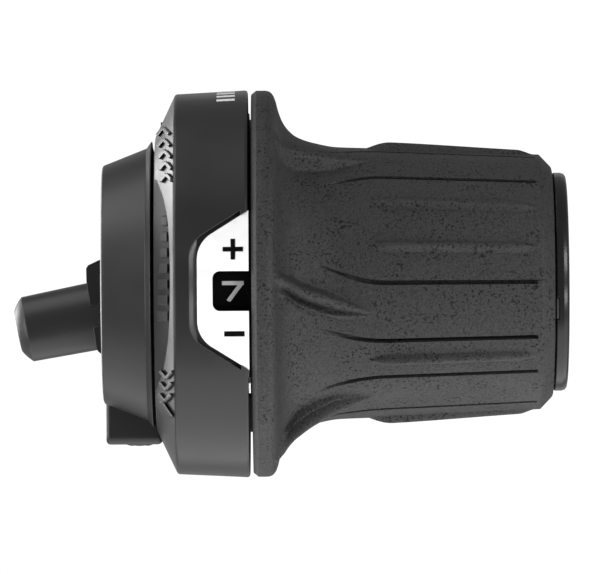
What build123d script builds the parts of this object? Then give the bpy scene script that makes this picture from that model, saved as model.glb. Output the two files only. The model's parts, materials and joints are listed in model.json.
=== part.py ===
from build123d import *
import math
import os

# Twist-grip gear shifter for the right end of a bicycle handlebar, 7 gears, in millimetres.
#
# X runs along the handlebar towards its outer end, -Y points at the rider and +Z points up.
# The origin is on the bar's axis, at the middle of the clamp ring.
# An angle "round" is counted from the rider's side (-Y) upwards: 90 is the top, 180 the far side.

# Handlebar and the tubes on it
BAR_R = 11.1
CLAMP_BORE_R = BAR_R + 0.05
SLEEVE_BORE_R = BAR_R + 0.25
SLEEVE_R = 12.2
TURNING_BORE_R = SLEEVE_R + 0.08

# Stations along the bar
CLAMP_X = (-3.3, 3.3)
COVER_X = (3.7, 15.9)
DISC_END_X = 9.6
FLANGE_X = (11.0, 14.85)
HUB_X = (14.9, 17.6)
GRIP_X = (16.33, 55.7)
FLARE_END_X = 27.6
GRIP_CHAMFER_X = (54.1, 55.6)
CORE_END_X = 55.1
CLIP_X = (55.92, 56.18)
END_RING_X = (55.85, 57.6)
SLEEVE_X = (4.05, 57.2)

# Radii of the housing
RING_R = (15.8, 17.9)
LIP_R = 18.8
BAND_START = (3.7, 19.3)
BAND_END = (6.25, 24.7)
SCOOP_START = (3.7, 19.1)
SCOOP_END = (6.4, 22.85)
COVER_R = (25.0, 25.45)
COVER_INNER_R = 22.95

# Radii of the turning parts
DRUM_R = 13.25
FLANGE_R = 21.5
HUB_R = 21.6
LOW_HUB_R = 19.5
NUMBER_R = 22.4
CORE_R = 14.2
RIM_R = 25.4
BARREL_R = (17.8, 16.75)

# The grip's pattern, as angles round the bar: three groups, with ribs and grooves from each one's middle
GRIP_GROUPS = (-34.5, 85.5, 205.5)
RIB_ROUNDS = (-50.0, 0.0, 50.0)
RIB_HALF = 1.8
GROOVE_ROUNDS = (-34.5, -9.3, 9.3, 34.5)
GROOVE_HALF = 0.8

# Gears
GEARS = 7
GEAR_STEP = 12.0
WINDOW_ROUND = -2.45
DIGIT_SIZE = (2.8, 2.65)
DIGIT_STROKE = 0.52
SPRING_ROUND = -90.0

# Dial plate and its window, as seen from the rider: x along the bar, z up
DIAL_MIDDLE_Z = -0.82
DIAL_LEFT_X = 9.36
DIAL_RIGHT_X = 16.0
DIAL_LEFT_HALF = 6.11
DIAL_RIGHT_HALF = 10.26
DIAL_CORNER_R = 3.9
DIAL_R = (24.1, 25.25)
BEVEL_WIDTH = 1.05
BEVEL_R = (25.09, 24.6)
WINDOW_LEFT_X = 11.35
WINDOW_HALF = 2.56
WINDOW_CORNER_R = 0.95

# Clamp bolt, M4, upright behind the bar
BOLT_PLACE = (1.08, 14.6)
BOLT_R = 2.0
BOLT_HEAD_R = 2.9
LUG_X = (-3.1, 4.3)
LUG_BOTTOM = -21.1
SLIT_Z = (-11.1, -10.3)
NUT_Z = (-9.0, -6.8)
NUT_HALF = 3.1

# Barrel for the casing, on the far side of the bar
BARREL_POINT = (-4.0, 15.7, -4.0)
BARREL_SLOPE = 10.7
BARREL_TIP = 11.3
BARREL_ROUND = (1.3, 1.63)
BARREL_TUBE_R = (4.56, 4.38)
CASING_R = 2.55
CABLE_HOLE_R = 1.1
GUIDE_PATH = [(-0.6, 15.7, -3.36), (5.6, 15.1, -2.4), (9.55, 14.45, 2.2)]
GUIDE_R = (0.9, 1.3)

# Pieces that hold the cover
SCREW_ROUNDS = (110.0, 155.0)
SCREW_RING_R = 20.6
PORT = (11.2, 203.0)


def turned(*outline):
    """A solid of revolution about the bar, from (x, radius) corners."""
    return revolve(make_face(Polyline(*outline, close=True)), Axis.X, 360)


def ring(x_span, r_inner, r_outer):
    """A plain ring round the bar."""
    start, end = x_span
    return turned((start, r_inner), (end, r_inner), (end, r_outer), (start, r_outer))


def sector(outline, low, high):
    """The part of a turned solid between two angles round the bar."""
    face = make_face(Polyline(*outline, close=True))
    return Rot(X=180 - high) * revolve(face, Axis.X, high - low)


def ring_sector(x_span, r_inner, r_outer, low, high):
    """The part of a ring between two angles round the bar."""
    start, end = x_span
    corners = [(start, r_inner), (end, r_inner), (end, r_outer), (start, r_outer)]
    return sector(corners, low, high)


def around(solid, angle):
    """Moves a solid from the rider's side to another angle round the bar."""
    return Rot(X=-angle) * solid


def seen(face, near, far):
    """A prism of a face drawn as the rider sees it, between two distances from the bar's axis."""
    return extrude(Plane.XZ.offset(near) * face, far - near)


def along_bar(x_start, x_end, radius, place):
    """A cylinder along the bar's direction, at a (y, z) place."""
    y, z = place
    middle = (x_start + x_end) / 2
    return Pos(middle, y, z) * Rot(Y=90) * Cylinder(radius, x_end - x_start)


def upright(z_low, z_high, radius):
    """A cylinder on the clamp bolt's axis."""
    x, y = BOLT_PLACE
    return Pos(x, y, (z_low + z_high) / 2) * Cylinder(radius, z_high - z_low)


def place_round(radius, angle):
    """The (y, z) place at a radius and an angle round the bar."""
    turn = math.radians(angle)
    return (-radius * math.cos(turn), radius * math.sin(turn))


def block(x_span, y_span, z_span):
    """A box between two corners."""
    spans = (x_span, y_span, z_span)
    middle = [(low + high) / 2 for low, high in spans]
    sides = [high - low for low, high in spans]
    return Pos(*middle) * Box(*sides)


def barrel_place():
    """The barrel's frame: local +Z points out of its mouth."""
    slope = math.radians(BARREL_SLOPE)
    outward = (-math.cos(slope), 0, -math.sin(slope))
    return Plane(origin=BARREL_POINT, x_dir=(0, 1, 0), z_dir=outward)


def on_barrel(start, end, radius):
    """A cylinder on the barrel's axis, between two distances outward from its reference point."""
    return barrel_place() * Pos(0, 0, (start + end) / 2) * Cylinder(radius, end - start)


def guide_tube(radius):
    """A round bar along the cable's way from the barrel to the drum."""
    path = FilletPolyline(*GUIDE_PATH, radius=4.0)
    start = Plane(origin=path @ 0, z_dir=path % 0)
    return sweep(start * Circle(radius), path=path)


def dial_face():
    """The dial plate's outline as the rider sees it, with its rounded inboard corners."""
    corners = [
        (DIAL_RIGHT_X, DIAL_RIGHT_HALF),
        (DIAL_LEFT_X, DIAL_LEFT_HALF),
        (DIAL_LEFT_X, -DIAL_LEFT_HALF),
        (DIAL_RIGHT_X, -DIAL_RIGHT_HALF),
    ]
    face = make_face(Polyline(*corners, close=True))
    rounded = [v for v in face.vertices() if v.X < DIAL_RIGHT_X - 1]
    return Pos(0, DIAL_MIDDLE_Z) * fillet(rounded, DIAL_CORNER_R)


def dial_bevel():
    """The space over the sloped band beside the plate, widest on the plate's inboard side."""
    start, end = DIAL_LEFT_X - BEVEL_WIDTH, DIAL_RIGHT_X + 1
    high, low = BEVEL_R
    cone = [(start - 0.1, high), (start, high), (DIAL_LEFT_X, low), (end, low)]
    above = turned(*cone, (end, 30), (start - 0.1, 30))
    return seen(Pos(-BEVEL_WIDTH, 0) * dial_face(), 10, 30) & above


def window_face(margin):
    """The window's outline as the rider sees it, open towards the grip."""
    width = 20.0 - WINDOW_LEFT_X + margin
    height = 2 * (WINDOW_HALF + margin)
    middle = WINDOW_LEFT_X - margin + width / 2
    return Pos(middle, DIAL_MIDDLE_Z - 0.1) * RectangleRounded(width, height, WINDOW_CORNER_R)


def inside_slope(slope_start, slope_end, offset):
    """The space inside a cone round the bar, given by two (x, radius) points moved outwards by an offset."""
    run = slope_end[0] - slope_start[0]
    rise = slope_end[1] - slope_start[1]
    length = math.hypot(run, rise)
    step_x = -offset * rise / length
    step_r = offset * run / length
    start = (slope_start[0] + step_x, slope_start[1] + step_r)
    end = (slope_end[0] + step_x, slope_end[1] + step_r)
    return turned((start[0], 0), start, end, (9.0, end[1]), (9.0, 0))


def band_solid(offset):
    """The space inside the sloped band."""
    return inside_slope(BAND_START, BAND_END, offset)


def scoop_solid(offset):
    """The space inside the scoop's floor."""
    return inside_slope(SCOOP_START, SCOOP_END, offset)


def scoop_face():
    """The lens-shaped scoop on the sloped band, as the rider sees it."""
    edge = Spline((4.1, 13.5), (5.2, 10.4), (5.8, 5.0), (5.85, -1.5), (5.6, -6.5), (4.9, -10.8), (3.9, -13.8))
    sides = Polyline((3.9, -13.8), (3.0, -13.8), (3.0, 13.5), (4.1, 13.5))
    return make_face([edge, sides])


def slanted_bar(x, z, length, width, lean):
    """A bar lying along the bar's direction, as the rider sees it, leaning by some degrees."""
    return Pos(x, z) * Rot(Z=lean) * Rectangle(length, width)


def scoop_bars():
    """Seven raised bars in the scoop, wider from one to the next, one for each gear."""
    bars = []
    for gear in range(GEARS):
        width = 0.7 + 0.11 * gear
        z = 8.2 - 2.05 * gear
        bars.append(slanted_bar(5.5 - width / 2, z, width, 1.2, 0))
    return Sketch() + bars


def chevron(x, z, up):
    """A mark of two bars that meet at its top, or at its bottom with up at -1."""
    left = slanted_bar(x - 0.4, z, 1.25, 0.42, 48 * up)
    right = slanted_bar(x + 0.4, z, 1.25, 0.42, -48 * up)
    return left + right


def slope_marks():
    """Raised chevrons on the slope above and below the scoop, pointing away from it, and a slanted bar."""
    marks = [chevron(5.35 - 0.14 * step, 13.8 + 1.55 * step, 1) for step in range(5)]
    marks += [chevron(5.15 - 0.1 * step, -11.7 - 1.5 * step, -1) for step in range(3)]
    marks.append(slanted_bar(5.2, -16.2, 0.35, 2.4, 35))
    return Sketch() + marks


def make_clamp_bracket():
    """Clamp ring with its lug, the boss for the barrel, and the plate that the cover sits on."""
    ring_start, ring_end = CLAMP_X
    body = turned(
        (ring_start, 0),
        (ring_start, RING_R[0] - 0.5),
        (ring_start + 0.15, RING_R[0] - 0.15),
        (ring_start + 0.5, RING_R[0]),
        (2.55, RING_R[1]),
        (3.1, LIP_R - 0.1),
        (3.2, LIP_R),
        (ring_end, LIP_R - 0.1),
        (ring_end, 18.3),
        (3.6, 17.2),
        (6.95, 22.8),
        (DISC_END_X, 22.8),
        (DISC_END_X, 0),
    )
    lug = block(LUG_X, (1.5, 20.2), (LUG_BOTTOM, -4.0))
    lug = fillet(lug.edges().filter_by(Axis.X), 1.2)
    lug = fillet(lug.edges().filter_by(Axis.Z), 0.6)
    outboard = block((-3.3, 3.3), (10.0, 20.2), (-10.0, 3.2))
    boss_side = [
        (-3.0, 3.8),
        (-3.94, 3.4),
        (-5.88, 2.5),
        (-5.84, 0.5),
        (-4.58, -8.33),
        (-4.34, -8.86),
        (-3.0, -9.95),
    ]
    boss = seen(make_face(Polyline(*boss_side, close=True)), -20.5, -(BAR_R + 0.2))
    boss = chamfer(boss.edges().filter_by(Axis.Y).group_by(Axis.X)[0], 0.3)
    body = body + lug + outboard + boss
    body = body - ring((-10, 4.0), 0, CLAMP_BORE_R)
    body = body - ring((4.0, 20.0), 0, SLEEVE_R)
    body = body - block((4.0, 8.0), (-1.5, 1.5), (-13.2, 13.2))
    body = body - ring((DISC_END_X - 0.5, 20.0), 0, DRUM_R + 0.1)
    body = body - block((-10, 3.5), (3.0, 25.0), SLIT_Z)
    body = body - upright(-30, NUT_Z[1] + 0.15, BOLT_R + 0.2)
    body = body - upright(-30, -18.0, BOLT_HEAD_R + 0.15)
    x, y = BOLT_PLACE
    half = NUT_HALF + 0.05
    nut_slot = block((x - half, x + half), (y - half, 30.0), (NUT_Z[0] - 0.05, NUT_Z[1] + 0.05))
    body = body - nut_slot
    body = body - on_barrel(-2.7, 0.0, 2.65) - on_barrel(0.0, 8.0, 4.6)
    body = body - guide_tube(GUIDE_R[1] + 0.05)
    for angle in SCREW_ROUNDS:
        place = place_round(SCREW_RING_R, angle)
        body = body - along_bar(3.4, DISC_END_X + 1, 1.02, place) - along_bar(3.4, 5.6, 2.3, place)
    for place in rivet_places():
        body = body - along_bar(7.8, DISC_END_X + 1, 0.62, place)
    return body.solids().sort_by(SortBy.VOLUME)[-1]


def make_housing_cover():
    """Sloped band and flange over the mechanism, with the dial recess, window and port."""
    start, end = COVER_X
    body = turned(
        (start, 17.45),
        (start, BAND_START[1] - 0.2),
        (BAND_START[0] + 0.1, BAND_START[1] + 0.2),
        BAND_END,
        (BAND_END[0] + 0.12, 24.88),
        (BAND_END[0] + 0.35, COVER_R[0]),
        (end - 0.35, COVER_R[1]),
        (end - 0.1, COVER_R[1] - 0.1),
        (end, COVER_R[1] - 0.35),
        (end, COVER_INNER_R),
        (6.9, COVER_INNER_R),
    )
    plate = dial_face()
    recess = seen(offset(plate, 0.06), 10, 30) - ring((5, 20), 0, DIAL_R[0] - 0.05)
    body = body - recess - dial_bevel()
    body = body - seen(window_face(0.3), 10, 30)
    body = body - dial_foot(0.05)
    body = body - (seen(scoop_face(), 5, 30) & (band_solid(1.0) - scoop_solid(0)))
    raised_in_scoop = seen(scoop_bars(), 5, 30) & (scoop_solid(0.35) - scoop_solid(-0.2))
    raised_on_slope = seen(slope_marks(), 5, 30) & (band_solid(0.32) - band_solid(-0.3))
    body = body + raised_in_scoop + raised_on_slope
    body = body - block((0, LUG_X[1] + 0.15), (1.3, 20.4), (-30, -4.0))
    for angle in SCREW_ROUNDS:
        place = place_round(SCREW_RING_R, angle)
        body = body - along_bar(0, 12, 1.35, place) - along_bar(0, 5.6, 2.3, place)
    port_x, port_angle = PORT
    hole = Plane.XZ.offset(20) * Pos(port_x, 0) * Circle(2.6)
    body = body - around(extrude(hole, 10), port_angle)
    return body.solids().sort_by(SortBy.VOLUME)[-1]


def dial_foot(margin):
    """The strip in the cover's end face and the foot that shows in the gap below the dial."""
    strip_x = (15.45 - margin, 15.95)
    strip = ring_sector(strip_x, 23.4 - margin, DIAL_R[0] + 0.1, -34.5 - margin, -20.0)
    foot = ring_sector((15.9, 16.15), 23.4, 24.9, -34.5, -31.0)
    return strip + foot


def make_dial_plate():
    """White plate round the window, curved like the cover, with its foot."""
    shell = ring((5, 20), *DIAL_R)
    plate = (seen(dial_face(), 10, 30) - seen(window_face(0), 10, 30)) & shell
    plate = plate + dial_foot(0)
    return plate - mark_pockets(0.02)


def mark_faces(margin):
    """The plus sign above the window and the minus sign below it."""
    plus = Rectangle(2.6 + margin, 0.56 + margin) + Rectangle(0.56 + margin, 2.65 + margin)
    minus = Rectangle(2.6 + margin, 0.65 + margin)
    return [Pos(14.0, 4.45) * plus, Pos(14.12, -6.42) * minus]


def mark_pockets(margin):
    """The shallow space that the two signs fill."""
    shell = ring((5, 20), DIAL_R[1] - 0.25, DIAL_R[1] + 1)
    plus, minus = (seen(face, 10, 30) & shell for face in mark_faces(margin))
    return plus + minus


def make_dial_marks():
    """The two black signs, a hair proud of the plate."""
    shell = ring((5, 20), DIAL_R[1] - 0.23, DIAL_R[1] + 0.03)
    plus, minus = (seen(face, 10, 30) & shell for face in mark_faces(0))
    return plus + minus


def make_cable_barrel():
    """Plain barrel that takes the casing, with its spigot in the boss."""
    base, tip = BARREL_TUBE_R
    length, width = BARREL_ROUND
    corner = (tip, BARREL_TIP - length)
    rounded = (tip - 0.42 * width, BARREL_TIP - 0.48 * length)
    mouth = (tip - width, BARREL_TIP)
    sides = Polyline(mouth, (0, BARREL_TIP), (0, 0), (base, 0), corner)
    face = make_face(Plane.XZ * (sides + ThreePointArc(corner, rounded, mouth)))
    tube = barrel_place() * revolve(face, Axis.Z, 360)
    body = tube + on_barrel(-2.6, 0.1, 2.6)
    return body - on_barrel(3.5, 30, CASING_R) - on_barrel(-10, 5, CABLE_HOLE_R)


def make_cable_guide():
    """Curved tube that turns the cable towards the drum."""
    return guide_tube(GUIDE_R[1]) - guide_tube(GUIDE_R[0])


def make_clamp_bolt():
    """Domed socket-head bolt that closes the clamp ring."""
    x, y = BOLT_PLACE
    head = upright(-20.75, -18.0, BOLT_HEAD_R)
    dome = Pos(x, y, -16.85) * Sphere(4.83) & upright(-30, -20.74, BOLT_HEAD_R)
    socket = Pos(x, y, -22.0) * extrude(RegularPolygon(1.25, 6, major_radius=False), 2.4)
    return head + dome + upright(-18.0, NUT_Z[1], BOLT_R) - socket


def make_clamp_nut():
    """Square nut in the upper ear."""
    x, y = BOLT_PLACE
    nut = block((x - NUT_HALF, x + NUT_HALF), (y - NUT_HALF, y + NUT_HALF), NUT_Z)
    nut = chamfer(nut.edges().filter_by(Axis.Z), 0.4)
    return nut - upright(-12, 0, BOLT_R + 0.01)


def make_inner_sleeve():
    """Fixed tube that the grip turns on, keyed into the bracket."""
    start = SLEEVE_X[0]
    tube = ring(SLEEVE_X, SLEEVE_BORE_R, SLEEVE_R - 0.01)
    keys = block((start, start + 3.85), (-1.45, 1.45), (-13.1, 13.1)) - ring((0, 20), 0, SLEEVE_R - 0.1)
    clip_groove = ring((CLIP_X[0] - 0.02, CLIP_X[1] + 0.02), SLEEVE_R - 0.4, 20)
    return tube + keys - clip_groove


def make_retaining_clip():
    """Open snap ring with a tab that shows at the edge of the end ring."""
    clip = ring_sector(CLIP_X, SLEEVE_R - 0.35, 13.7, -155, 175)
    tab = ring_sector(CLIP_X, 13.6, 14.3, -19.6, -8.9)
    return clip + tab


def make_end_ring():
    """Smooth ring at the outer end, with a rounded rim."""
    start, end = END_RING_X
    seat = CLIP_X[1] + 0.04
    body = turned(
        (start, 13.85),
        (start, 14.2),
        (start + 0.15, 14.35),
        (end - 0.75, 14.35),
        (end - 0.3, 14.2),
        (end - 0.08, 13.9),
        (end, 13.4),
        (end, 11.7),
        (end - 0.35, SLEEVE_BORE_R),
        (end - 0.4, SLEEVE_R),
        (seat, SLEEVE_R),
        (seat, 13.85),
    )
    return body - ring_sector((start - 1, seat + 0.03), 13.0, 15.0, -20.2, -8.3)


def make_click_spring():
    """Leaf spring with a bump that drops into the detent notches."""
    half = [(10.0, 7.2), (10.0, 1.6), (11.25, 0)]
    mirrored = [(x, -z) for x, z in reversed(half[:-1])]
    line = Polyline(*half, *mirrored)
    leaf = seen(trace(line, 0.34), 16.6, 19.4)
    leaf = leaf - around(leaf, 180)
    for z in (6.0, -6.0):
        leaf = leaf - along_bar(8, 12, 0.62, (-18.0, z))
    return around(leaf, SPRING_ROUND)


def rivet_places():
    """Where the two rivets of the leaf spring stand, as (y, z)."""
    radius = math.hypot(18.0, 6.0)
    spread = math.degrees(math.atan2(6.0, 18.0))
    return [place_round(radius, SPRING_ROUND + side * spread) for side in (-1, 1)]


def make_spring_rivets():
    """Two rivets that hold the leaf spring on the bracket."""
    rivets = []
    for place in rivet_places():
        rivets.append(along_bar(7.9, 10.3, 0.6, place) + along_bar(10.18, 10.6, 1.15, place))
    return rivets[0] + rivets[1]


def make_inboard_washer():
    """Slide washer between the bracket and the drum."""
    return ring((DISC_END_X - 0.48, DISC_END_X + 0.02), TURNING_BORE_R, DRUM_R)


def make_cable_drum():
    """Drum that winds the cable, with the flange that carries the detent ring."""
    start, end = FLANGE_X
    body = turned(
        (DISC_END_X + 0.1, TURNING_BORE_R),
        (end, TURNING_BORE_R),
        (end, FLANGE_R),
        (start, FLANGE_R),
        (start, 15.0),
        (start - 0.15, DRUM_R),
        (DISC_END_X + 0.1, DRUM_R),
    )
    body = body - ring((start - 1, start + 1.1), 15.5, 20.6)
    head_pocket = around(along_bar(9, start + 1.6, 1.7, (-14.4, 0)), 152)
    body = body - head_pocket
    for place in drum_screw_places():
        body = body - along_bar(8, 20, 1.1, place) - along_bar(8, 13.3, 2.1, place)
    return body


def drum_screw_places():
    """Where the three drum screws stand, as (y, z)."""
    return [place_round(18.0, angle) for angle in (24.0, 144.0, 264.0)]


def make_drum_screws():
    """Three pan-head screws that hold the drum on the grip core."""
    screws = []
    for place in drum_screw_places():
        head = along_bar(12.2, 13.3, 1.9, place)
        cross = block((12.1, 12.7), (-1.2, 1.2), (-0.2, 0.2))
        cross = cross + block((12.1, 12.7), (-0.2, 0.2), (-1.2, 1.2))
        screws.append(head + along_bar(13.3, 17.2, 1.0, place) - Pos(0, *place) * cross)
    return screws[0] + screws[1] + screws[2]


def make_detent_ring():
    """Ring with one notch for each gear on the face that the spring presses."""
    face_x = FLANGE_X[0]
    body = ring((face_x, face_x + 1.08), 15.55, 20.55)
    notch = make_face(Polyline((face_x - 0.1, -0.96), (face_x - 0.1, 0.96), (face_x + 0.5, 0), close=True))
    for gear in range(GEARS):
        body = body - around(seen(notch, 10, 25), SPRING_ROUND + GEAR_STEP * gear)
    return body


def make_number_ring():
    """Dark ring sector under the window that carries the gear numbers."""
    low = WINDOW_ROUND - 39
    high = WINDOW_ROUND + GEAR_STEP * (GEARS - 1) + 31
    return ring_sector((11.1, 16.1), HUB_R + 0.04, NUMBER_R, low, high)


def digit_lines():
    """Stroke lines of the digits 1 to 7, in a cell one wide and one high."""
    top, middle, bottom = ((0, 1), (1, 1)), ((0, 0.5), (1, 0.5)), ((0, 0), (1, 0))
    high_left, high_right = ((0, 0.5), (0, 1)), ((1, 0.5), (1, 1))
    low_left, low_right = ((0, 0), (0, 0.5)), ((1, 0), (1, 0.5))
    return {
        1: [((0.5, 0), (0.5, 1)), ((0.15, 0.78), (0.5, 1))],
        2: [top, high_right, middle, low_left, bottom],
        3: [top, high_right, ((0.3, 0.5), (1, 0.5)), low_right, bottom],
        4: [high_left, middle, ((0.75, 0), (0.75, 1))],
        5: [top, high_left, middle, low_right, bottom],
        6: [top, high_left, middle, low_left, low_right, bottom],
        7: [top, ((1, 1), (0.3, 0))],
    }


def digit_face(strokes):
    """One digit's outline about its middle, clipped square to its cell."""
    width, height = DIGIT_SIZE
    inner_width, inner_height = width - DIGIT_STROKE, height - DIGIT_STROKE
    bars = []
    for (u_start, v_start), (u_end, v_end) in strokes:
        run = (u_end - u_start) * inner_width
        rise = (v_end - v_start) * inner_height
        middle_x = ((u_start + u_end) / 2 - 0.5) * inner_width
        middle_z = ((v_start + v_end) / 2 - 0.5) * inner_height
        length = math.hypot(run, rise) + DIGIT_STROKE
        lean = math.degrees(math.atan2(rise, run))
        bars.append(slanted_bar(middle_x, middle_z, length, DIGIT_STROKE, lean))
    return (Sketch() + bars) & Rectangle(width, height)


def make_gear_numbers():
    """The digits 1 to 7 on the number ring, one gear step apart, with 7 in the window."""
    shell = ring((5, 20), NUMBER_R + 0.01, NUMBER_R + 0.12)
    digits = []
    for gear, strokes in digit_lines().items():
        outline = Pos(13.95, 0) * digit_face(strokes)
        digit = seen(outline, 10, 30) & shell
        digits.append(around(digit, WINDOW_ROUND + GEAR_STEP * (GEARS - gear)))
    return Compound(children=[solid for digit in digits for solid in digit.solids()])


def make_grip_core():
    """Rigid tube and hub under the rubber."""
    start, end = HUB_X
    body = turned(
        (start, TURNING_BORE_R),
        (CORE_END_X, TURNING_BORE_R),
        (CORE_END_X, CORE_R),
        (end, CORE_R),
        (end, HUB_R),
        (GRIP_X[0] + 0.07, HUB_R),
        (GRIP_X[0] + 0.07, LOW_HUB_R),
        (start, LOW_HUB_R),
    )
    body = body + ring_sector((start, GRIP_X[0] + 0.1), LOW_HUB_R - 0.1, HUB_R, -38, 215)
    for place in drum_screw_places():
        body = body - along_bar(start - 1, end - 0.3, 1.01, place)
    return body


def grip_outline():
    """The rubber's outer outline, from the rim's face to the end chamfer."""
    start, end = GRIP_X
    rim = Polyline((start, 14.3), (start, 25.0), (start + 0.45, RIM_R), (18.0, RIM_R))
    shoulder = Spline(
        (18.0, RIM_R),
        (18.9, 25.0),
        (19.3, 24.2),
        (19.9, 22.2),
        (21.2, 20.1),
        (23.0, 18.9),
        (FLARE_END_X, BARREL_R[0]),
        tangents=((1, 0), (1, -0.12)),
    )
    barrel = Polyline(
        (FLARE_END_X, BARREL_R[0]),
        (GRIP_CHAMFER_X[0], BARREL_R[1]),
        (GRIP_CHAMFER_X[1], 15.2),
        (end, 15.0),
        (end, 14.3),
        (start, 14.3),
    )
    return make_face([rim, shoulder, barrel])


def make_grip_rubber():
    """Rubber sleeve with its rim, with three groups of ribs and grooves."""
    body = revolve(grip_outline(), Axis.X, 360)
    body = body - ring((GRIP_X[0] - 1, HUB_X[1] + 0.04), 10, HUB_R + 0.04)
    taper = (BARREL_R[1] - BARREL_R[0]) / (GRIP_CHAMFER_X[0] - FLARE_END_X)
    groove_start, groove_end = 29.0, 53.7
    groove_r = [BARREL_R[0] + taper * (x - FLARE_END_X) for x in (groove_start, groove_end)]
    rib_start, rib_end = 32.2, 53.3
    rib_r = [BARREL_R[0] + taper * (x - FLARE_END_X) for x in (rib_start, rib_end)]
    groove = [
        (groove_start, groove_r[0] + 0.6),
        (groove_start, groove_r[0] - 0.2),
        (groove_start + 1.0, groove_r[0] - 0.8),
        (groove_end, groove_r[1] - 0.8),
        (groove_end, groove_r[1] + 0.6),
    ]
    rib = [
        (rib_start, rib_r[0] - 0.3),
        (rib_start + 1.5, rib_r[0] + 0.5),
        (rib_end - 1.5, rib_r[1] + 0.5),
        (rib_end, rib_r[1] - 0.3),
    ]
    for group in GRIP_GROUPS:
        for side in RIB_ROUNDS:
            body = body + sector(rib, group + side - RIB_HALF, group + side + RIB_HALF)
        for side in GROOVE_ROUNDS:
            body = body - sector(groove, group + side - GROOVE_HALF, group + side + GROOVE_HALF)
    return body


def make_outboard_washer():
    """Slide washer between the grip core and the retaining clip."""
    return ring((CORE_END_X + 0.1, CORE_END_X + 0.6), TURNING_BORE_R, 14.1)


def make_cover_screws():
    """Two screws that hold the cover on the bracket."""
    screws = []
    for angle in SCREW_ROUNDS:
        place = place_round(SCREW_RING_R, angle)
        head = along_bar(4.3, 5.6, 2.15, place)
        socket = Pos(3.5, *place) * Rot(Y=90) * extrude(RegularPolygon(0.75, 6), 1.5)
        screws.append(head + along_bar(5.6, 9.4, 1.0, place) - socket)
    return screws[0] + screws[1]


def make_cable_port_cap():
    """Rubber cap over the port through which the cable is threaded."""
    x, angle = PORT
    stem = extrude(Plane.XZ.offset(COVER_INNER_R) * Pos(x, 0) * Circle(2.5), 2.6)
    head = extrude(Plane.XZ.offset(20) * Pos(x, 0) * Circle(3.4), 8) & ring((5, 20), 25.42, 25.95)
    return around(stem + head, angle)


MAKERS = {
    "clamp_bracket": make_clamp_bracket,
    "housing_cover": make_housing_cover,
    "dial_plate": make_dial_plate,
    "dial_marks": make_dial_marks,
    "cable_barrel": make_cable_barrel,
    "cable_guide": make_cable_guide,
    "clamp_bolt": make_clamp_bolt,
    "clamp_nut": make_clamp_nut,
    "inner_sleeve": make_inner_sleeve,
    "retaining_clip": make_retaining_clip,
    "end_ring": make_end_ring,
    "click_spring": make_click_spring,
    "spring_rivets": make_spring_rivets,
    "inboard_washer": make_inboard_washer,
    "cover_screws": make_cover_screws,
    "cable_port_cap": make_cable_port_cap,
    "cable_drum": make_cable_drum,
    "drum_screws": make_drum_screws,
    "detent_ring": make_detent_ring,
    "number_ring": make_number_ring,
    "gear_numbers": make_gear_numbers,
    "grip_core": make_grip_core,
    "grip_rubber": make_grip_rubber,
    "outboard_washer": make_outboard_washer,
}

os.makedirs("parts", exist_ok=True)
for name, make in MAKERS.items():
    export_step(make(), f"parts/{name}.step")
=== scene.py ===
import json
import math

import bpy
import numpy as np
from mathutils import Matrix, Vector


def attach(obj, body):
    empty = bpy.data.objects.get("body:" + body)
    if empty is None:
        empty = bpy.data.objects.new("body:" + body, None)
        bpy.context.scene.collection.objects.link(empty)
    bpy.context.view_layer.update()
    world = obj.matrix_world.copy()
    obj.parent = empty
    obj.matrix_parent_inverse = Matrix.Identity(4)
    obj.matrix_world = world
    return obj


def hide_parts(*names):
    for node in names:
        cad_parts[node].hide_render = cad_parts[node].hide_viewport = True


# Twist-grip gear shifter: X along the handlebar, -Y towards the rider, Z up. Lights, floor and camera are
# placed in metres, and the shifter's own sizes are in millimetres. An angle "round" is counted in degrees
# from the rider's side (-Y) upwards.

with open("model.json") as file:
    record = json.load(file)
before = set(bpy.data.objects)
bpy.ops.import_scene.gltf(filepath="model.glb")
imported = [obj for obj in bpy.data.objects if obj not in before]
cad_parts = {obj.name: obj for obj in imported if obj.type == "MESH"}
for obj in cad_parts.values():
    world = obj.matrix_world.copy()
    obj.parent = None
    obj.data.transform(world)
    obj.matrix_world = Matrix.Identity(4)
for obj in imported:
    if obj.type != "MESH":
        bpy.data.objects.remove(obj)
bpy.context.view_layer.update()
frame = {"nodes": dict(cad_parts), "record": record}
nodes = frame["nodes"]
MM = 0.001

# The grip's outline, as (x, radius)
GRIP_INNER = [(55.7, 14.26), (17.64, 14.26), (17.64, 21.66), (16.36, 21.66)]
GRIP_FACE = [(16.33, 21.8), (16.33, 24.82), (16.38, 24.9), (16.44, 24.96), (16.9, 25.33), (16.97, 25.37)]
GRIP_BODY = [
    (17.05, 25.4),
    (18.1, 25.4),
    (18.65, 25.3),
    (19.1, 24.95),
    (19.45, 24.3),
    (19.8, 22.95),
    (20.3, 21.5),
    (21.15, 20.2),
    (22.3, 19.25),
    (24.4, 18.5),
    (27.6, 17.9),
    (31.5, 17.75),
    (54.05, 16.75),
]
GRIP_END = [(54.05, 16.75), (54.2, 16.62), (55.5, 15.25), (55.65, 15.05), (55.7, 14.9)]

# The grip's pattern: three equal groups of grooves, ribs and pads, each mirrored about its middle.
# Places across a group are angles from that middle, in degrees.
GROUP_MIDDLES = (-34.5, 85.5, 205.5)
HALF_GROUP = 60.0

# From FAN_X towards the rim, over FAN_LENGTH, the grooves and the outer ribs spread by up to these angles
FAN_X = 34.5
FAN_LENGTH = 12.0
FAN_CURVE = 1.4
GROOVE_FAN = (7.0, 8.5)
RIB_FAN = 4.0

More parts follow.
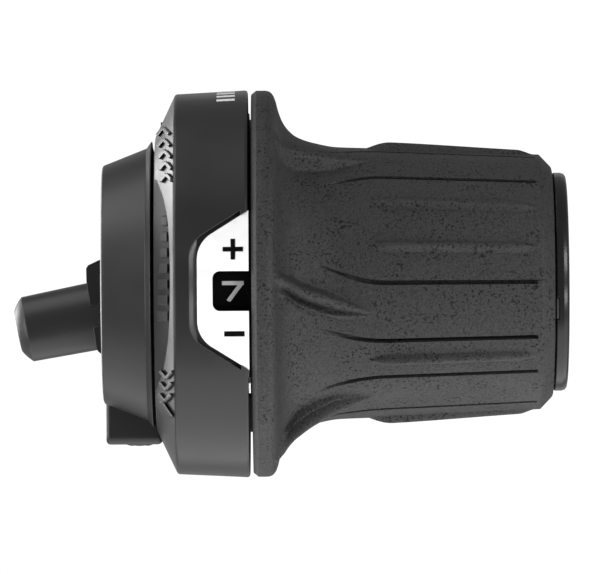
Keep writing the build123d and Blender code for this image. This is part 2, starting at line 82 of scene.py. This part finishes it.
# Grooves, with the half width of the floor and of the top, and how they thin out at the rim's side
GROOVES = (9.3, 34.5)
GROOVE_SPAN = (24.6, 53.4)
GROOVE_DEPTH = 1.0
GROOVE_HALF = (0.75, 1.0)
GROOVE_FADE_LENGTH = 8.0
GROOVE_FADE_CURVE = 0.8
GROOVE_NARROWEST = 0.35
GROOVE_END_LENGTH = 0.3

# Ribs, with the height of their crown along the grip and the length of their tapered ends
RIBS = (0.0, 50.0)
RIB_SPAN = (31.4, 53.6)
RIB_CROWN = [(31.4, 0.85), (35.0, 0.9), (40.0, 0.82), (44.0, 0.72), (48.0, 0.62), (53.7, 0.5)]
RIB_HALF = 2.3
RIB_TAPERS = (3.2, 2.4)
RIB_ROUNDNESS = 0.7

# Leaf-shaped thumb pads: the height along x, the angles of the outer and inner edge, and the section as a
# share of the height, from the inner edge (0) to a little past the outer edge (1)
LEAF_CREST = [
    (19.3, 0.0),
    (19.8, 1.3),
    (20.5, 2.4),
    (22.2, 2.5),
    (24.2, 2.05),
    (26.5, 1.5),
    (29.2, 0.8),
    (32.4, 0.0),
]
LEAF_OUTER = [
    (19.0, 38.5),
    (21.2, 35.9),
    (22.9, 33.4),
    (25.2, 31.0),
    (27.3, 28.5),
    (29.3, 25.9),
    (32.4, 21.6),
]
LEAF_INNER = [
    (19.0, 31.5),
    (20.5, 29.6),
    (21.9, 26.4),
    (23.4, 24.0),
    (25.2, 21.8),
    (27.6, 19.8),
    (32.4, 20.6),
]
LEAF_SECTION = [
    (0.0, 0.0),
    (0.08, 0.36),
    (0.16, 0.46),
    (0.24, 0.26),
    (0.31, 0.02),
    (0.38, 0.12),
    (0.56, 0.7),
    (0.76, 1.0),
    (0.92, 0.94),
    (1.02, 0.55),
    (1.12, 0.1),
    (1.2, 0.0),
]

# The skin's mesh: its stations along x as (start, end, step), on the barrel as (start, end, count), and its
# lines across a group, at these offsets from the middle of each groove and rib. Elsewhere the lines are at
# most WIDEST_GAP apart, or LEAF_GAP between the two LEAF_ANGLES. An edge sharper than SHARPEST_SMOOTH
# degrees stays hard.
FIRST_STATION = 17.07
FLARE_STATIONS = (17.3, 35.0, 0.25)
BARREL_STATIONS = (35.0, 50.5, 9)
END_STATIONS = (50.8, 54.0, 0.3)
GROOVE_LINES = (-1.7, -1.0, -0.88, -0.75, 0.0, 0.75, 0.88, 1.0, 1.7)
RIB_LINES = (-3.2, -2.6, -2.2, -1.6, -1.0, -0.5, 0.0, 0.5, 1.0, 1.6, 2.2, 2.6, 3.2)
LEAF_ANGLES = (17, 34)
LEAF_GAP = 0.55
WIDEST_GAP = 1.0
SHARPEST_SMOOTH = 42

# The scale printed on top of the cover, which widens evenly between these places
COVER_X = (6.6, 15.55)
COVER_START_R = 25.0
COVER_RISE = 0.45
SCALE_START_X = 11.85
SCALE_LENGTH = 2.4
SCALE_HALF = 0.95
SCALE_ROUNDS = [71.4 + 4.2 * step for step in range(7)]
SCALE_CORNERS = (-1, -0.33, 0.33, 1)
SCALE_LIFTS = (-0.03, 0.025)

# Edges are softened over this radius, and are coloured lighter, partly as wear and partly as a painted
# highlight, where the softened surface turns away from the true one: fully at the first likeness of the two
# directions, not at all at the second
EDGE_RADIUS = 0.18
EDGE_LIKENESS = (0.72, 0.985)

# The rubber gets a painted highlight on the narrow bevel at the rim's face, which ends between these places
# in x
PAINTED_HIGHLIGHT_RIM_X = (16.95, 17.05)

# Nodes whose finish differs from that of the rest of their slot. The barrel's is a lighter copy of the
# housing plastic, which paints on the light its top catches.
OWN_MATERIAL = {"cable_barrel": "lightened_barrel_plastic", "retaining_clip": "clip_steel"}

# Stage and camera
FLOOR_Z = -0.42
FLOOR_HALF = 4.0
FLOOR_WHITE = (0.95, 0.95, 0.95, 1)
FLOOR_GLOW = 0.3
WHITE = (1, 1, 1, 1)
SURROUNDINGS_AS_LIGHT = 0.22
SURROUNDINGS_AS_SEEN = 1.05
CAMERA_X = 22.455 * MM
CAMERA_Z = -0.465 * MM
CAMERA_DISTANCE = 1.0
CAMERA_LENS = 457.5
CAMERA_ROLL = 0.4
SENSOR_WIDTH = 36.0
FARTHEST_SEEN = 50

# Lights, as (name, place, the point it is aimed at, width and height, brightness). The top and low
# lights are aimed straight across the bar, so that their long side lies along it.
MIDDLE = (0.02, 0, 0)
LIGHTS = [
    ("top_light", (-0.72, -0.12, 0.8), (-0.72, 0, 0), (1.1, 0.75), 2.2),
    ("low_light", (0.3, 0.0, -0.39), (0.3, 0.0, 0), (1.3, 0.72), 1.25),
    ("back_light", (0.02, 1.3, 0.0), MIDDLE, (1.0, 1.6), 0.25),
    ("left_back_light", (-0.8, 0.82, 0.07), MIDDLE, (0.6, 0.5), 7.4),
    ("left_light", (-1.08, -0.31, 0.05), MIDDLE, (0.4, 1.0), 7.0),
    ("upper_right_light", (0.78, -0.65, 0.34), MIDDLE, (0.35, 0.3), 11.0),
    ("lower_right_light", (0.78, -0.65, -0.24), MIDDLE, (0.35, 0.2), 11.0),
]


def smooth_step(value):
    """0 to 1, with no slope at either end."""
    t = np.clip(value, 0.0, 1.0)
    return t * t * (3 - 2 * t)


def smooth_line(points, x):
    """A smooth curve through (x, y) points that never overshoots them."""
    px, py = (np.array(values, float) for values in zip(*points))
    rise = np.diff(py) / np.diff(px)
    both = rise[1:] * rise[:-1]
    slope = np.zeros(len(px))
    slope[1:-1] = np.where(both > 0, 2 * both / (rise[1:] + rise[:-1] + 1e-12), 0)
    slope[0], slope[-1] = rise[0], rise[-1]
    x = np.clip(x, px[0], px[-1])
    i = np.clip(np.searchsorted(px, x, side="right") - 1, 0, len(px) - 2)
    step = px[i + 1] - px[i]
    t = (x - px[i]) / step
    before = (2 * t**3 - 3 * t**2 + 1) * py[i] + (t**3 - 2 * t**2 + t) * step * slope[i]
    after = (-2 * t**3 + 3 * t**2) * py[i + 1] + (t**3 - t**2) * step * slope[i + 1]
    return before + after


def place_round(x, radius, degrees):
    """The point at that angle round the bar, in metres."""
    turn = math.radians(degrees)
    return x * MM, -radius * math.cos(turn) * MM, radius * math.sin(turn) * MM


def add_piece(name, corners, faces, material):
    """A mesh object in the scene."""
    mesh = bpy.data.meshes.new(name)
    mesh.from_pydata(corners, [], faces)
    mesh.materials.append(material)
    piece = bpy.data.objects.new(name, mesh)
    bpy.context.scene.collection.objects.link(piece)
    return piece


# ---------------------------------------------------------------- materials


def new_material(name, roughness, **sockets):
    """A material with a Principled shader whose uniform values are on its own sockets."""
    material = bpy.data.materials.new(name)
    material.use_nodes = True
    shader = material.node_tree.nodes["Principled BSDF"]
    shader.inputs["Roughness"].default_value = roughness
    for socket, value in sockets.items():
        shader.inputs[socket.replace("_", " ")].default_value = value
    return material, shader


def add_node(material, kind, **values):
    """A node with its input sockets or properties set by name."""
    node = material.node_tree.nodes.new(kind)
    for key, value in values.items():
        if key in node.inputs:
            node.inputs[key].default_value = value
        else:
            setattr(node, key, value)
    return node


def link(material, output, target):
    """Joins two sockets."""
    material.node_tree.links.new(output, target)


def point_on(material, stretch=(1, 1, 1)):
    """The point on the piece, in millimetres."""
    place = add_node(material, "ShaderNodeTexCoord")
    mapping = add_node(material, "ShaderNodeMapping")
    mapping.inputs["Scale"].default_value = [1000 * s for s in stretch]
    link(material, place.outputs["Object"], mapping.inputs["Vector"])
    return mapping.outputs["Vector"]


def noise(material, place, size_mm, detail=3.0, roughness=0.5):
    """Noise whose blobs are about size_mm across."""
    node = add_node(material, "ShaderNodeTexNoise", Scale=1.0 / size_mm, Detail=detail, Roughness=roughness)
    link(material, place, node.inputs["Vector"])
    return node.outputs["Fac"]


def spread(material, source, low, high, from_low=0.3, from_high=0.7):
    """Maps a value from one range to another."""
    node = add_node(material, "ShaderNodeMapRange")
    node.inputs["From Min"].default_value = from_low
    node.inputs["From Max"].default_value = from_high
    node.inputs["To Min"].default_value = low
    node.inputs["To Max"].default_value = high
    link(material, source, node.inputs["Value"])
    return node.outputs["Result"]


def multiply(material, first, second):
    """Two values multiplied."""
    node = add_node(material, "ShaderNodeMath", operation="MULTIPLY")
    link(material, first, node.inputs[0])
    link(material, second, node.inputs[1])
    return node.outputs["Value"]


def scaled(shade, factor):
    """A shade made darker or lighter."""
    return [factor * s for s in shade]


def blend_colours(material, factor, low, high):
    """A colour between two, by a factor."""
    node = add_node(material, "ShaderNodeMix", data_type="RGBA")
    node.inputs["A"].default_value = (*low, 1)
    node.inputs["B"].default_value = (*high, 1)
    link(material, factor, node.inputs["Factor"])
    return node.outputs["Result"]


def lay_over(material, factor, under, colour):
    """A colour laid over what is there, by a factor."""
    node = add_node(material, "ShaderNodeMix", data_type="RGBA")
    node.inputs["B"].default_value = (*colour, 1)
    link(material, factor, node.inputs["Factor"])
    link(material, under, node.inputs["A"])
    return node.outputs["Result"]


def bump(material, shader, height, strength, distance_mm):
    """Adds a bump to the shader, on top of one that is there."""
    node = add_node(material, "ShaderNodeBump", Strength=strength, Distance=distance_mm * MM)
    link(material, height, node.inputs["Height"])
    if shader.inputs["Normal"].links:
        link(material, shader.inputs["Normal"].links[0].from_socket, node.inputs["Normal"])
    link(material, node.outputs["Normal"], shader.inputs["Normal"])


def softened_edges_mask(material, shader):
    """Softens the shading at edges and gives a mask that is 1 on them, where edge wear and a painted edge
    highlight go.
    """
    soft = add_node(material, "ShaderNodeBevel", samples=6, Radius=EDGE_RADIUS * MM)
    link(material, soft.outputs["Normal"], shader.inputs["Normal"])
    surface = add_node(material, "ShaderNodeNewGeometry")
    likeness = add_node(material, "ShaderNodeVectorMath", operation="DOT_PRODUCT")
    link(material, soft.outputs["Normal"], likeness.inputs[0])
    link(material, surface.outputs["Normal"], likeness.inputs[1])
    return spread(material, likeness.outputs["Value"], 1.0, 0.0, *EDGE_LIKENESS)


def moulded_plastic(name, shade, roughness, grain_mm=0.16, grain=0.12, specular=0.5, edge_highlight_and_wear=0.6):
    """Moulding with a fine spark-eroded grain, uneven gloss, and edges coloured lighter, partly as wear and
    partly as a painted highlight.
    """
    material, shader = new_material(name, roughness, Specular_IOR_Level=specular)
    place = point_on(material)
    broad = noise(material, place, 7.0)
    fine = noise(material, place, grain_mm, detail=2.0)
    edge = softened_edges_mask(material, shader)
    uneven = spread(material, broad, 0, 1)
    colour = blend_colours(material, uneven, scaled(shade, 0.88), scaled(shade, 1.1))
    # The edges' lighter colour is partly wear and partly a painted highlight
    painted_highlight = [min(1.0, s * (1 + edge_highlight_and_wear) + 0.01 * edge_highlight_and_wear) for s in shade]
    link(material, lay_over(material, edge, colour, painted_highlight), shader.inputs["Base Color"])
    gloss = spread(material, broad, roughness - 0.04, roughness + 0.05)
    link(material, gloss, shader.inputs["Roughness"])
    bump(material, shader, fine, grain, 0.02)
    return material


def stippled_rubber(name, shade):
    """Soft rubber with a fine leathery stipple and scattered dark pits, and a painted highlight on the
    rim's bevel.
    """
    material, shader = new_material(name, 0.6, Specular_IOR_Level=0.35)
    place = point_on(material)
    broad = noise(material, place, 6.0)
    grain = noise(material, place, 0.2, detail=2.0, roughness=0.6)
    pits = noise(material, place, 0.36, detail=1.0, roughness=0.4)
    patches = noise(material, place, 3.5, detail=1.0)
    patchy = spread(material, patches, 0.35, 1.0, 0.4, 0.6)
    pit = multiply(material, spread(material, pits, 0.0, 1.0, 0.58, 0.65), patchy)
    tint = spread(material, grain, 0.0, 1.0, 0.33, 0.7)
    colour = blend_colours(material, tint, scaled(shade, 0.6), scaled(shade, 1.5))
    colour = lay_over(material, pit, colour, scaled(shade, 0.15))
    axes = add_node(material, "ShaderNodeSeparateXYZ")
    link(material, place, axes.inputs["Vector"])
    # Painted highlight: the rim's bevel is coloured paler, with a grain
    at_rim = spread(material, axes.outputs["X"], 1.0, 0.0, *PAINTED_HIGHLIGHT_RIM_X)
    painted_highlight = multiply(material, at_rim, spread(material, grain, 0.3, 1.0, 0.35, 0.6))
    colour = lay_over(material, painted_highlight, colour, scaled(shade, 2.1))
    link(material, colour, shader.inputs["Base Color"])
    link(material, spread(material, broad, 0.54, 0.68), shader.inputs["Roughness"])
    bump(material, shader, grain, 0.6, 0.08)
    depth = add_node(material, "ShaderNodeMath", operation="SUBTRACT")
    depth.inputs[0].default_value = 1.0
    link(material, pit, depth.inputs[1])
    bump(material, shader, depth.outputs["Value"], 0.6, 0.06)
    return material


def metal(name, shade, roughness, streak=(1, 1, 1)):
    """Plated or bright metal with fine streaks and uneven polish."""
    material, shader = new_material(name, roughness, Metallic=1.0)
    lines = noise(material, point_on(material, streak), 0.12, detail=4.0, roughness=0.6)
    broad = noise(material, point_on(material), 1.6)
    colour = blend_colours(material, broad, scaled(shade, 0.82), scaled(shade, 1.06))
    link(material, colour, shader.inputs["Base Color"])
    link(material, spread(material, lines, roughness - 0.07, roughness + 0.12), shader.inputs["Roughness"])
    bump(material, shader, lines, 0.08, 0.01)
    return material


def make_materials():
    """One material per kind of surface: the record's slots, the finishes of OWN_MATERIAL and the print."""
    return {
        "housing_plastic": moulded_plastic("housing_plastic", (0.017, 0.017, 0.018), 0.4),
        # The cover's and the barrel's strong edge lightening is a painted highlight along their edges
        "cover_plastic": moulded_plastic("cover_plastic", (0.016, 0.016, 0.017), 0.33, edge_highlight_and_wear=2.5),
        # A lighter copy of the housing plastic: painted light on the barrel
        "lightened_barrel_plastic": moulded_plastic("lightened_barrel_plastic", (0.024, 0.024, 0.025), 0.4, edge_highlight_and_wear=2.5),
        "white_plastic": moulded_plastic("white_plastic", (0.95, 0.95, 0.95), 0.3, 0.4, 0.03, edge_highlight_and_wear=0.0),
        "mark_black": moulded_plastic("mark_black", (0.003, 0.003, 0.003), 0.45, 0.3, 0.05, 0.07),
        "number_grey": moulded_plastic("number_grey", (0.66, 0.66, 0.67), 0.35, 0.3, 0.05),
        "gloss_black": moulded_plastic("gloss_black", (0.01, 0.01, 0.01), 0.24, 0.3, 0.04),
        "sleeve_plastic": moulded_plastic("sleeve_plastic", (0.01, 0.01, 0.01), 0.45, specular=0.3),
        "grip_rubber": stippled_rubber("grip_rubber", (0.034, 0.034, 0.035)),
        "cap_rubber": stippled_rubber("cap_rubber", (0.022, 0.022, 0.023)),
        "black_steel": metal("black_steel", (0.09, 0.09, 0.095), 0.4),
        "zinc_steel": metal("zinc_steel", (0.62, 0.62, 0.63), 0.32),
        "clip_steel": metal("clip_steel", (0.16, 0.16, 0.165), 0.4),
        "spring_steel": metal("spring_steel", (0.55, 0.55, 0.57), 0.25, (0.2, 1, 1)),
        "brass": metal("brass", (0.7, 0.52, 0.25), 0.3),
        "print_white": moulded_plastic("print_white", (0.92, 0.92, 0.92), 0.5, 0.3, 0.1, edge_highlight_and_wear=0.0),
    }


# ---------------------------------------------------------------- grip


def grip_stations():
    """The outline as one closed line of (x, radius), and which points carry the pattern."""
    flare = np.arange(*FLARE_STATIONS)
    barrel = np.linspace(*BARREL_STATIONS)
    end = np.arange(*END_STATIONS)
    body_x = np.concatenate([[FIRST_STATION], flare, barrel, end])
    body = [(x, float(smooth_line(GRIP_BODY, x))) for x in body_x]
    outline = GRIP_FACE + body + GRIP_END + GRIP_INNER
    patterned = [False] * len(GRIP_FACE) + [True] * len(body) + [False] * (len(GRIP_END) + len(GRIP_INNER))
    return np.array(outline), np.array(patterned)


def group_angles():
    """The angles of a group's lines, close together at each rib, groove and pad."""
    marks = [side * middle + np.array(GROOVE_LINES) for middle in GROOVES for side in (-1, 1)]
    marks += [side * middle + np.array(RIB_LINES) for middle in RIBS for side in (-1, 1)]
    close = np.unique(np.round(np.concatenate(marks), 3))
    angles = [-HALF_GROUP]
    for angle in [*close, HALF_GROUP]:
        gap = angle - angles[-1]
        widest = LEAF_GAP if LEAF_ANGLES[0] < abs(angle - gap / 2) < LEAF_ANGLES[1] else WIDEST_GAP
        count = max(1, math.ceil(gap / widest))
        angles += [angles[-1] + gap * (i + 1) / count for i in range(count)]
    return np.array(angles[:-1])


def fanned(angle, x):
    """Where a line at that angle on the barrel lies at x: the lines spread towards the rim."""
    fan = float(smooth_step((FAN_X - x) / FAN_LENGTH)) ** FAN_CURVE
    marks = [0.0, *GROOVES, RIBS[1], HALF_GROUP]
    shifts = [0.0, *GROOVE_FAN, RIB_FAN, 0.0]
    places = [mark + shift * fan for mark, shift in zip(marks, shifts)]
    return math.copysign(float(np.interp(abs(angle), marks, places)), angle)


def groove_height(angle, x):
    """The cut of a group's four narrow grooves: they thin out towards the rim and end squarely."""
    start, end = GROOVE_SPAN
    if not start < x < end:
        return 0.0
    near = min(abs(abs(angle) - g) for g in GROOVES)
    fade = min(1.0, (x - start) / GROOVE_FADE_LENGTH) ** GROOVE_FADE_CURVE
    fade *= min(1.0, (end - x) / GROOVE_END_LENGTH)
    floor_half, top_half = (half * min(1.0, GROOVE_NARROWEST + fade) for half in GROOVE_HALF)
    return -GROOVE_DEPTH * fade * float(np.clip((top_half - near) / (top_half - floor_half), 0, 1))


def rib_height(angle, x):
    """How far the soft ribs stand out, with their tapered ends."""
    start, end = RIB_SPAN
    if not start < x < end:
        return 0.0
    near = min(abs(abs(angle) - r) for r in RIBS)
    start_taper, end_taper = RIB_TAPERS
    rise = math.sin(math.pi / 2 * min(1.0, (x - start) / start_taper))
    rise *= float(smooth_step((end - x) / end_taper))
    half = RIB_HALF * rise**0.5
    if near >= half:
        return 0.0
    return float(smooth_line(RIB_CROWN, x)) * rise * (1 - (near / half) ** 2) ** RIB_ROUNDNESS


def leaf_height(place, x):
    """How far a group's two thumb pads stand out of the flare, with the crease along each."""
    if not LEAF_CREST[0][0] < x < LEAF_CREST[-1][0]:
        return 0.0
    outer = float(smooth_line(LEAF_OUTER, x))
    inner = float(smooth_line(LEAF_INNER, x))
    across = (abs(place) - inner) / (outer - inner)
    if not 0.0 < across < LEAF_SECTION[-1][0]:
        return 0.0
    return float(smooth_line(LEAF_CREST, x)) * float(smooth_line(LEAF_SECTION, across))


def make_grip(material):
    """The rubber grip: a closed skin with ribs, grooves and thumb pads."""
    outline, patterned = grip_stations()
    angles = group_angles()
    rows = []
    for middle in GROUP_MIDDLES:
        for angle in angles:
            row = []
            for (x, radius), shaped in zip(outline, patterned):
                place = fanned(angle, x)
                if shaped:
                    radius = radius + groove_height(angle, x) + rib_height(angle, x) + leaf_height(place, x)
                row.append(place_round(x, radius, middle + place))
            rows.append(row)
    across, along = len(rows), len(outline)
    corners = [corner for row in rows for corner in row]
    faces = []
    for i in range(across):
        after = (i + 1) % across
        for j in range(along):
            beyond = (j + 1) % along
            faces.append((i * along + j, i * along + beyond, after * along + beyond, after * along + j))
    grip = add_piece("grip_skin", corners, faces, material)
    grip.data.update()
    grip.data.shade_smooth()
    grip.data.set_sharp_from_angle(angle=math.radians(SHARPEST_SMOOTH))
    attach(grip, "twist_grip")
    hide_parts("grip_rubber")


# ---------------------------------------------------------------- printed scale


def cover_radius(x):
    """The cover's outer radius at x."""
    start, end = COVER_X
    return COVER_START_R + COVER_RISE * (x - start) / (end - start)


def make_printed_scale(material):
    """Seven white ticks on top of the cover, one for each gear, each a thin curved patch."""
    corners, faces = [], []
    for middle in SCALE_ROUNDS:
        first = len(corners)
        for x in (SCALE_START_X, SCALE_START_X + SCALE_LENGTH):
            for lift in SCALE_LIFTS:
                for side in SCALE_CORNERS:
                    corners.append(place_round(x, cover_radius(x) + lift, middle + SCALE_HALF * side))
        near, near_top, far, far_top = (first + 4 * i for i in range(4))
        for i in range(3):
            faces.append((near_top + i, near_top + i + 1, far_top + i + 1, far_top + i))
            faces.append((near + i, far + i, far + i + 1, near + i + 1))
            faces.append((near + i, near + i + 1, near_top + i + 1, near_top + i))
            faces.append((far + i, far_top + i, far_top + i + 1, far + i + 1))
        faces.append((near, near_top, far_top, far))
        faces.append((near + 3, far + 3, far_top + 3, near_top + 3))
    scale = add_piece("printed_scale", corners, faces, material)
    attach(scale, "housing")


# ---------------------------------------------------------------- CAD nodes


def dress_nodes(materials):
    """Gives each CAD node its material."""
    for entry in frame["record"]["subparts"]:
        mesh = nodes[entry["node"]].data
        mesh.materials.clear()
        mesh.materials.append(materials[OWN_MATERIAL.get(entry["node"], entry["material_slot"])])


# ---------------------------------------------------------------- stage


def area_light(name, place, aim, size, radiance):
    """A soft light of even brightness, aimed at a point and not itself seen."""
    data = bpy.data.lights.new(name, "AREA")
    data.shape = "RECTANGLE"
    data.size, data.size_y = size
    data.energy = radiance * math.pi * size[0] * size[1]
    light = bpy.data.objects.new(name, data)
    light.location = place
    direction = Vector(aim) - Vector(place)
    light.rotation_euler = direction.to_track_quat("-Z", "Y").to_euler()
    light.visible_camera = False
    bpy.context.scene.collection.objects.link(light)


def make_floor():
    """A plain pale floor below the shifter, which doesn't show in its reflections."""
    glow = {"Emission_Color": WHITE, "Emission_Strength": FLOOR_GLOW}
    material, _ = new_material("pale_floor", 0.9, Base_Color=FLOOR_WHITE, **glow)
    signs = [(-1, -1), (1, -1), (1, 1), (-1, 1)]
    corners = [(FLOOR_HALF * x, FLOOR_HALF * y, FLOOR_Z) for x, y in signs]
    floor = add_piece("floor", corners, [(0, 1, 2, 3)], material)
    floor.visible_glossy = False


def make_surroundings():
    """White to look at, dim as a light."""
    world = bpy.data.worlds.new("studio")
    bpy.context.scene.world = world
    world.use_nodes = True
    tree = world.node_tree
    background = tree.nodes["Background"]
    background.inputs["Color"].default_value = WHITE
    path = tree.nodes.new("ShaderNodeLightPath")
    brightness = tree.nodes.new("ShaderNodeMix")
    brightness.inputs["A"].default_value = SURROUNDINGS_AS_LIGHT
    brightness.inputs["B"].default_value = SURROUNDINGS_AS_SEEN
    tree.links.new(path.outputs["Is Camera Ray"], brightness.inputs["Factor"])
    tree.links.new(brightness.outputs["Result"], background.inputs["Strength"])


def make_camera():
    """A long lens level with the bar, rolled a little."""
    data = bpy.data.cameras.new("camera")
    data.lens = CAMERA_LENS
    data.sensor_width = SENSOR_WIDTH
    data.sensor_fit = "HORIZONTAL"
    data.clip_end = FARTHEST_SEEN
    camera = bpy.data.objects.new("camera", data)
    camera.location = (CAMERA_X, -CAMERA_DISTANCE, CAMERA_Z)
    camera.rotation_euler = (math.radians(90), math.radians(CAMERA_ROLL), 0)
    bpy.context.scene.collection.objects.link(camera)
    bpy.context.scene.camera = camera


materials = make_materials()
dress_nodes(materials)
make_grip(materials["grip_rubber"])
make_printed_scale(materials["print_white"])
make_floor()
make_surroundings()
for light in LIGHTS:
    area_light(*light)
make_camera()
bpy.context.scene.view_settings.view_transform = "Standard"
